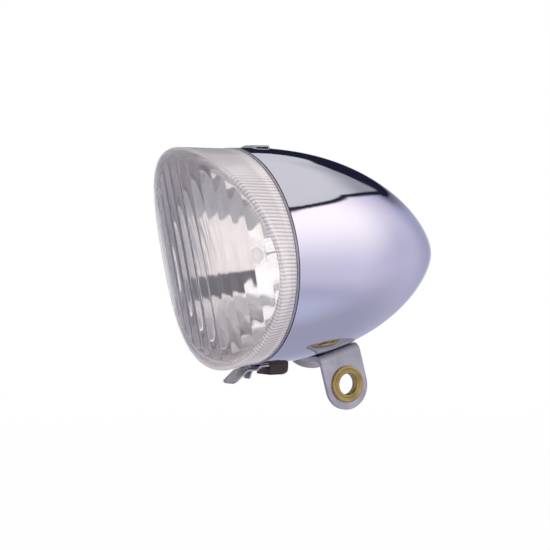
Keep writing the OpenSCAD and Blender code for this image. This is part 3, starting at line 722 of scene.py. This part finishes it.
# The moulding is one closed chain of loops: forward along the wall, round the bevel and in over
# the front's edge, then from the back face's edge down the inside to the land at the rear. The
# two faces of the glass are left open there, and upright columns of quads fill them.
edge = glass_loop(0)
wall_y = edge[:, 1] + BEVEL_H
rear_r = RIM_R - DRAFT
rear = rear_loop(rear_r, LENS_BACK)
loops, milk = [rear_loop(rear_r - 0.15, LENS_BACK)], [0.5]
for t in (0.015, 0.06, 0.1, 0.2, 0.35, 0.5, 0.65, 0.8, 0.93, 0.97):
    y = rear[:, 1] * (1 - t) + wall_y * t
    radius = rear_r * (1 - t) + (RIM_R + lip) * t
    loops.append(wall_loop(radius, y, RIDGE_H if 0.08 < t < 0.96 else 0.0))
    milk.append(0.5 if t > 0.3 else 0.65)
wall_top = wall_loop(RIM_R + lip, wall_y)
for t in (0.0, 0.15, 0.35, 0.5, 0.65, 0.85, 1.0):
    bulge = BEVEL_BULGE * math.sin(math.pi * t)
    loops.append(wall_top * (1 - t) + edge * t + about_axis(bulge, -bulge, a))
    milk.append(0.4)
loops += [glass_loop(inset) for inset in (0.4, 1.0, 2.6, 3.7)]
milk += [0.3, 0.25, 0.12, 0.08]
front_loop = len(loops) - 1
inner_edge = glass_loop(GLASS_WALL - 0.3, GLASS_WALL)
inner_edge[:, 1] += rib_depth(EDGE_R * np.sin(a))
inner_r = RIM_R - LAND - 0.5
loops += [inner_edge, wall_loop(inner_r + lip, edge[:, 1] + GLASS_WALL + 0.3),
          rear_loop(inner_r, LENS_BACK - RECESS), rear_loop(inner_r + 0.5, LENS_BACK - RECESS),
          rear_loop(inner_r + 0.5, LENS_BACK)]
milk += [0.2, 0.3, 0.6, 0.8, 0.8]
loop_points = np.vstack(loops)
loop_faces = grid_faces(len(loops), AROUND, round_rows=True)
loop_faces = loop_faces[loop_faces[:, 0] // AROUND != front_loop]


def glass_columns(loop, back, ribbed, first):
    """The face inside a loop as upright columns, each from a point at its top to the one below.

    Returns the new points and the faces, numbered from first, with the loop's own points at the ends."""
    ends = [ACROSS % AROUND, (AROUND // 2 - ACROSS) % AROUND]
    top, bottom = loops[loop][ends[0]], loops[loop][ends[1]]
    s = np.linspace(0, 1, STEPS + 1)[1:-1][None, :, None]
    x, z = np.moveaxis(top[:, None] * (1 - s) + bottom[:, None] * s, -1, 0)[[0, 2]]
    depth = rib_depth(EDGE_R * np.sin(2 * np.pi * ACROSS / AROUND))[:, None] if ribbed else 0
    inside = np.stack([x, glass_y(x, z) + back + depth, z], -1).reshape(-1, 3)
    index = np.empty((len(ACROSS), STEPS + 1), int)
    index[:, 0], index[:, -1] = loop * AROUND + ends[0], loop * AROUND + ends[1]
    index[:, 1:-1] = first + np.arange(x.size).reshape(len(ACROSS), -1)
    quads = np.stack([index[:-1, :-1], index[:-1, 1:], index[1:, 1:], index[1:, :-1]], -1).reshape(-1, 4)
    left_tip, right_tip = (loop + 1) * AROUND - QUARTER, loop * AROUND + QUARTER
    tips = [(index[0, k + 1], index[0, k], left_tip) for k in range(STEPS)]
    tips += [(index[-1, k], index[-1, k + 1], right_tip) for k in range(STEPS)]
    return inside, quads, tips


front_in, front_quads, front_tips = glass_columns(front_loop, 0, False, len(loop_points))
back_in, back_quads, back_tips = glass_columns(front_loop + 1, GLASS_WALL, True,
                                               len(loop_points) + len(front_in))
lens_faces = loop_faces.tolist() + front_quads.tolist() + front_tips
lens_faces += back_quads[:, ::-1].tolist() + [face[::-1] for face in back_tips]

# Two attributes guide the moulding's paint: how milky it is, and painted shade, kept under the name
# groove, which darkens the milk in the grooves between the ridges and along the top of the side wall.
clear, clear_shader, p = finish("clear_moulding", Transmission_Weight=1.0, IOR=1.42)
haze = p.spots(220, 4, 0.6)
feed(clear_shader,
     Base_Color=haze.between(0.3, 0.8).mixed((0.95, 0.94, 0.95), (0.92, 0.92, 0.93)),
     Roughness=0.02 + haze * 0.03,
     Normal=p.bump(p.spots(380, 3, 0.5), 0.05, 0.0002))
milk_shader = p.made("ShaderNodeBsdfPrincipled", None, {"Roughness": 0.35}).socket.node
# Painted shade: the groove attribute turns the milk's colour darker in the ridges' grooves and on top of
# the side wall.
painted_shade_map = p.made("ShaderNodeAttribute", {"attribute_name": "groove"}, out=2)
feed(milk_shader, Base_Color=painted_shade_map.between(0.2, 0.9).mixed((0.97, 0.90, 0.93), (0.56, 0.53, 0.56)))
milkiness = p.made("ShaderNodeAttribute", {"attribute_name": "milk"}, out=2) + (haze - 0.5) * 0.06
p.made("ShaderNodeMixShader", None, {0: milkiness, 1: Paint(p.tree, clear_shader.outputs[0]),
                                     2: Paint(p.tree, milk_shader.outputs[0])}).shown()

lens_clear = closed("lens_clear", np.vstack([loop_points, front_in, back_in]), lens_faces, clear)
glass_count = len(front_in) + len(back_in)
# Painted shade for the groove attribute: darker in the grooves between the wall's ridges, and darker on
# top of the side wall.
painted_shade = np.maximum(groove * ridged, 0.7 * smooth(np.cos(a), 0.60, 0.95))
guides = {"milk": [np.repeat(milk, AROUND), np.full(glass_count, GLASS_MILK)],
          "groove": [np.tile(painted_shade, len(loops)), np.zeros(glass_count)]}
for name, values in guides.items():
    values = np.concatenate(values).astype(np.float32)
    lens_clear.data.attributes.new(name, "FLOAT", "POINT").data.foreach_set("value", values)
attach(lens_clear, "lens_unit")
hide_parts("lens")


# Rim ring: a flat steel ring, zinc plated, holds the reflector in the lens. Its hook
# runs back over the shell's bridge and hangs in the slot, and its lug meets the catch.

RING_T = 0.6
RING_INNER_R = RIM_R - 3.4
RING_FRONT = -0.85
RING_BACK = RING_FRONT + RING_T
HOOK_PATH = [[-3.49, 33.62], [-3.59, 34.5], [3.0, 34.5], [4.5, 35.35],
             [9.3, 35.35], [9.3, 33.3], [10.5, 33.3]]
LUG_PATH = [[-0.55, -33.9], [-0.55, -35.0], [-0.55, -36.1]]
zinc, zinc_shader, p = finish("zinc_plate", Metallic=1.0)
cloud = p.spots(140, 4, 0.6)
grain = p.spots(1500, 2, 0.6, (1, 1, 0.2))
feed(zinc_shader,
     Base_Color=cloud.between(0.3, 0.7).mixed((0.44, 0.44, 0.445), (0.57, 0.565, 0.57)),
     Roughness=0.34 + grain * 0.16,
     Normal=p.bump(grain, 0.12, 0.00008))


def along(path, pitch, extra=()):
    """A path's points at every pitch of its length and at the extra distances, and those distances.

    The distances are counted back from the path's end."""
    run = np.concatenate([[0], np.cumsum(np.linalg.norm(np.diff(path, axis=0), axis=1))])
    even = np.linspace(0, run[-1], int(run[-1] / pitch) + 1)
    s = np.unique(np.round(np.concatenate([even, run[-1] - np.asarray(extra, float)]), 5))
    return run[-1] - s, np.stack([np.interp(s, run, path[:, k]) for k in range(path.shape[1])], -1)


def tab_half(left, half, corner):
    """Half the width of a strip at a distance left to its end, whose two corners are rounded.

    It is half - c + sqrt(c^2 - d^2), where c is the corner's radius and d is how far into the
    corner the place lies: c - left, but never below 0 or above c."""
    inward = np.clip(corner - left, 0, corner)
    return half - corner + np.sqrt(np.maximum(corner ** 2 - inward ** 2, 0.0))


def sheet(name, points, thick, material, keep=None, edge=0.12):
    """A piece of sheet metal: the grid's mid-surface with its thickness and its rounded edges."""
    rows, columns = points.shape[:2]
    points = points.reshape(-1, 3)
    faces = grid_faces(rows, columns, round_columns=False)
    if keep is not None:
        faces = faces[keep(points[faces].mean(1))]
    piece = surface(name, points, faces.tolist(), material)
    walled(piece, thick, 0).use_even_offset = True
    return rounded(piece, edge)


def strip_points(corners, reach, half, corner, columns=33, pitch=0.22):
    """A strip bent along corners (y, z), with its far end's corners rounded.

    Row by row, x runs from minus to plus the half width there, and (y, z) is the path's place."""
    left, path = along(eased(corners, reach), pitch, np.linspace(0, corner, 7))
    x = tab_half(left, half, corner)[:, None] * np.linspace(-1, 1, columns)
    return np.concatenate([x[..., None], np.broadcast_to(path[:, None], (*x.shape, 2))], -1)


profile = [[RING_INNER_R, RING_FRONT], [RIM_R, RING_FRONT], [RIM_R, RING_BACK], [RING_INNER_R, RING_BACK]]
ring = turned("rim_band", profile, 300, zinc, ring=True)
rounded(ring, 0.14)
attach(ring, "lens_unit")
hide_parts("rim_ring")
hook = sheet("rim_hook", strip_points(HOOK_PATH, reach=0.75, half=3.5, corner=0.4), RING_T, zinc)
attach(hook, "lens_unit")
lug_points = leaned(strip_points(LUG_PATH, reach=0.1, half=2.5, corner=0.7))
lug = sheet("rim_lug", lug_points, RING_T, zinc)
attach(lug, "lens_unit")


# Catch: a steel strip riveted under the shell. It steps down to a finger tab, has a
# narrow tongue lanced out of it, and its nib holds the lens unit's lug from in front.

CATCH_T = 0.5
NIB_T = 0.35
WINDOW_HALF = 1.95
WINDOW_FRONT = 2.15
WINDOW_BACK = 4.05
RUN_Z = -36.4
STRIP_PATH = [[9.2, -35.11], [5.5, -35.32], [4.9, RUN_Z], [1.0, RUN_Z], [-4.0, RUN_Z - 4]]
TONGUE_PATH = [[4.7, RUN_Z], [4.2, RUN_Z], [3.0, RUN_Z - 2.8]]
NIB_PATH = [[1.25, RUN_Z], [1.35, -35.75], [1.7, -35.72], [2.05, -35.75], [2.15, RUN_Z]]


def outside_window(centre):
    """True for faces off the window that the tongue leaves in the strip."""
    x, y, z = centre.T
    on_run = z < RUN_Z + 0.3
    return ~((np.abs(x) < WINDOW_HALF) & (y > WINDOW_FRONT) & (y < WINDOW_BACK) & on_run)


catch_points = strip_points(STRIP_PATH, reach=0.8, half=3.85, corner=1.6, columns=61)
catch_strip = sheet("catch_strip", catch_points, CATCH_T, zinc, outside_window)
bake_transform(catch_strip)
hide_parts("catch_foot", "catch_spring")
tongue_points = strip_points(TONGUE_PATH, reach=0.5, half=1.7, corner=0.6)
tongue = sheet("catch_tongue", tongue_points, CATCH_T, zinc)
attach(tongue, "catch")
nib_points = strip_points(NIB_PATH, reach=0.2, half=2.0, corner=0.1)
nib = sheet("catch_nib", nib_points, NIB_T, zinc)
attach(nib, "catch")
softened("catch_rivet", 0.25, zinc, "shell_body")


# Bracket: cut and bent from steel plate. Its saddle follows the shell, one side is
# bent down as the leg, the other is a short edge, and one screw holds it.

BRACKET_Y = 33.1
BASE_R = 31.1245
BASE_LEAN = math.radians(15.5596)
BRACKET_T = 1.3
BRACKET_W = 15.8
SADDLE_R = 32.3585
SADDLE_ANGLE = math.radians(10.947)
BEND_X = 6.6
BEND_Z = -1.7676
BEND_R = 1.75
BEND_FOOT = -1.9
LEG_X = 8.35
LEG_ROUND_Z = -11.6
EDGE_DROP = 7.0
EDGE_ROUND_R = 13.17
EDGE_ROUND_Z = 6.167
EDGE_MIDDLE = 3
SCREW_HOLE_R = 2.2
BORE_Z = -11.1
BORE_SEAT_R = 4.7


def based(points):
    """Points drawn from the bracket's middle, square to the shell, as points round the mouth's centre."""
    x, y, z = np.moveaxis(np.asarray(points, float), -1, 0)
    level, rise = math.cos(BASE_LEAN), math.sin(BASE_LEAN)
    return np.stack([x, BRACKET_Y + y * level - z * rise, -BASE_R + y * rise + z * level], -1)


def off_holes(centre):
    """True for faces off the screw's hole in the saddle and the bushing's hole in the leg."""
    x, y, z = centre.T
    screw = (np.abs(z) < 1) & (np.hypot(x, y) < SCREW_HOLE_R)
    bore = (x > LEG_X - 0.3) & (np.hypot(y, z - BORE_Z) < BORE_SEAT_R)
    return ~(screw | bore)


# The middle of the plate's section runs from the short edge over the saddle to the leg.
mid_r = SADDLE_R + BRACKET_T / 2
a = np.linspace(-SADDLE_ANGLE, SADDLE_ANGLE, 62)
saddle = np.stack([mid_r * np.sin(a), SADDLE_R - mid_r * np.cos(a)], -1)
a = np.linspace(math.pi / 2 + SADDLE_ANGLE, math.pi, 14)
bend = np.stack([-BEND_X + BEND_R * np.cos(a), BEND_Z + BEND_R * np.sin(a)], -1)
low = np.linspace(BEND_FOOT, -EDGE_DROP, 26)[::-1]
leg_end = LEG_ROUND_Z - BRACKET_W / 2 * np.sin(np.linspace(0, math.pi / 2, 24))
leg = np.concatenate([np.linspace(BEND_FOOT, LEG_ROUND_Z, 50)[:-1], leg_end])
section = np.vstack([np.stack([-LEG_X + 0 * low, low], -1), bend[::-1], saddle[1:-1], bend * (-1, 1),
                     np.stack([LEG_X + 0 * leg, leg], -1)])

# Each of its places has a first and a last y: the leg ends in a half round, the edge in an arc.
x, z = section.T
edge_reach = np.sqrt(np.maximum(EDGE_ROUND_R ** 2 - (z - EDGE_ROUND_Z) ** 2, 0))
leg_reach = np.sqrt(np.maximum((BRACKET_W / 2) ** 2 - np.minimum(z - LEG_ROUND_Z, 0) ** 2, 0.5))
on_edge = x < -BEND_X
first = np.where(on_edge, np.maximum(-BRACKET_W / 2, EDGE_MIDDLE - edge_reach), -leg_reach)
last = np.where(on_edge, np.minimum(BRACKET_W / 2, EDGE_MIDDLE + edge_reach), leg_reach)
t = np.linspace(0, 1, 61)
across = first[:, None] * (1 - t) + last[:, None] * t
plate = np.stack(np.broadcast_arrays(x[:, None], across, z[:, None]), -1)

# The holes are cut while the plate stands square, and then its points move to their places.
bracket = sheet("bracket_plate", plate, BRACKET_T, zinc, off_holes, edge=0.2)
bracket.data.vertices.foreach_set("co", placed(based(plate.reshape(-1, 3))).ravel())
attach(bracket, "shell_body")
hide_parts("bracket")
for name in ("bracket_screw", "bracket_washer", "bracket_nut"):
    softened(name, 0.15, zinc, "shell_body")


# Bushing: brass, turned and rolled over on both sides of the leg. Its front flange
# has a rounded rim, a groove, and a raised lip round the bore.

BUSHING_PROFILE = [[-1.4, 3.5], [1.3, 3.5], [1.56, 3.75], [1.56, 4.25], [1.22, 4.5], [1.22, 4.85],
                   [1.5, 5.15], [1.5, 5.6], [1.2, 6.0], [0.85, 6.0], [0.68, 5.8], [0.68, 4.5],
                   [-0.68, 4.5], [-0.68, 5.2], [-0.85, 5.5], [-1.3, 5.5], [-1.56, 5.2], [-1.56, 3.7],
                   [-1.4, 3.5]]
profile = eased(BUSHING_PROFILE, 0.14, 4)
a = np.linspace(0, 2 * np.pi, 120, endpoint=False)
x, r = profile.T[:, :, None]
points = np.stack(np.broadcast_arrays(x, r * np.sin(a), r * np.cos(a)), -1).reshape(-1, 3) - MOUTH
faces = grid_faces(len(profile), 120, round_rows=True).tolist()
bushing = closed("bushing_turned", points, faces, brass)
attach(bushing, "shell_body")
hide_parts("bushing")


# Terminal and contact strips: a dark brown block holds the wire's sleeve and rivet.
# Bronze strips bring the current to the bulb's foot and earth the reflector.

bronze = mottled("spring_bronze", (0.62, 0.40, 0.20), (0.72, 0.50, 0.28), (260, 4),
                 (0.28, 0.2), (600, 3), Metallic=1.0)
fibre = mottled("fibre_board", (0.26, 0.10, 0.05), (0.40, 0.17, 0.09), (1200, 4, 0.6, (1, 1, 3)),
                (0.7, 0.2), (900, 2))
moulded = mottled("brown_moulding", (0.022, 0.012, 0.010), (0.045, 0.022, 0.016), (300, 4),
                  (0.28, 0.2), (700, 3))
for name in ("contact_spring", "earth_spring"):
    softened(name, 0.08, bronze, "shell_body")
softened("contact_insulator", 0.08, fibre, "shell_body")
softened("terminal_block", 0.3, moulded, "shell_body", 40)
softened("terminal_sleeve", 0.08, brass, "shell_body")
softened("terminal_rivet", 0.15, brass, "shell_body")
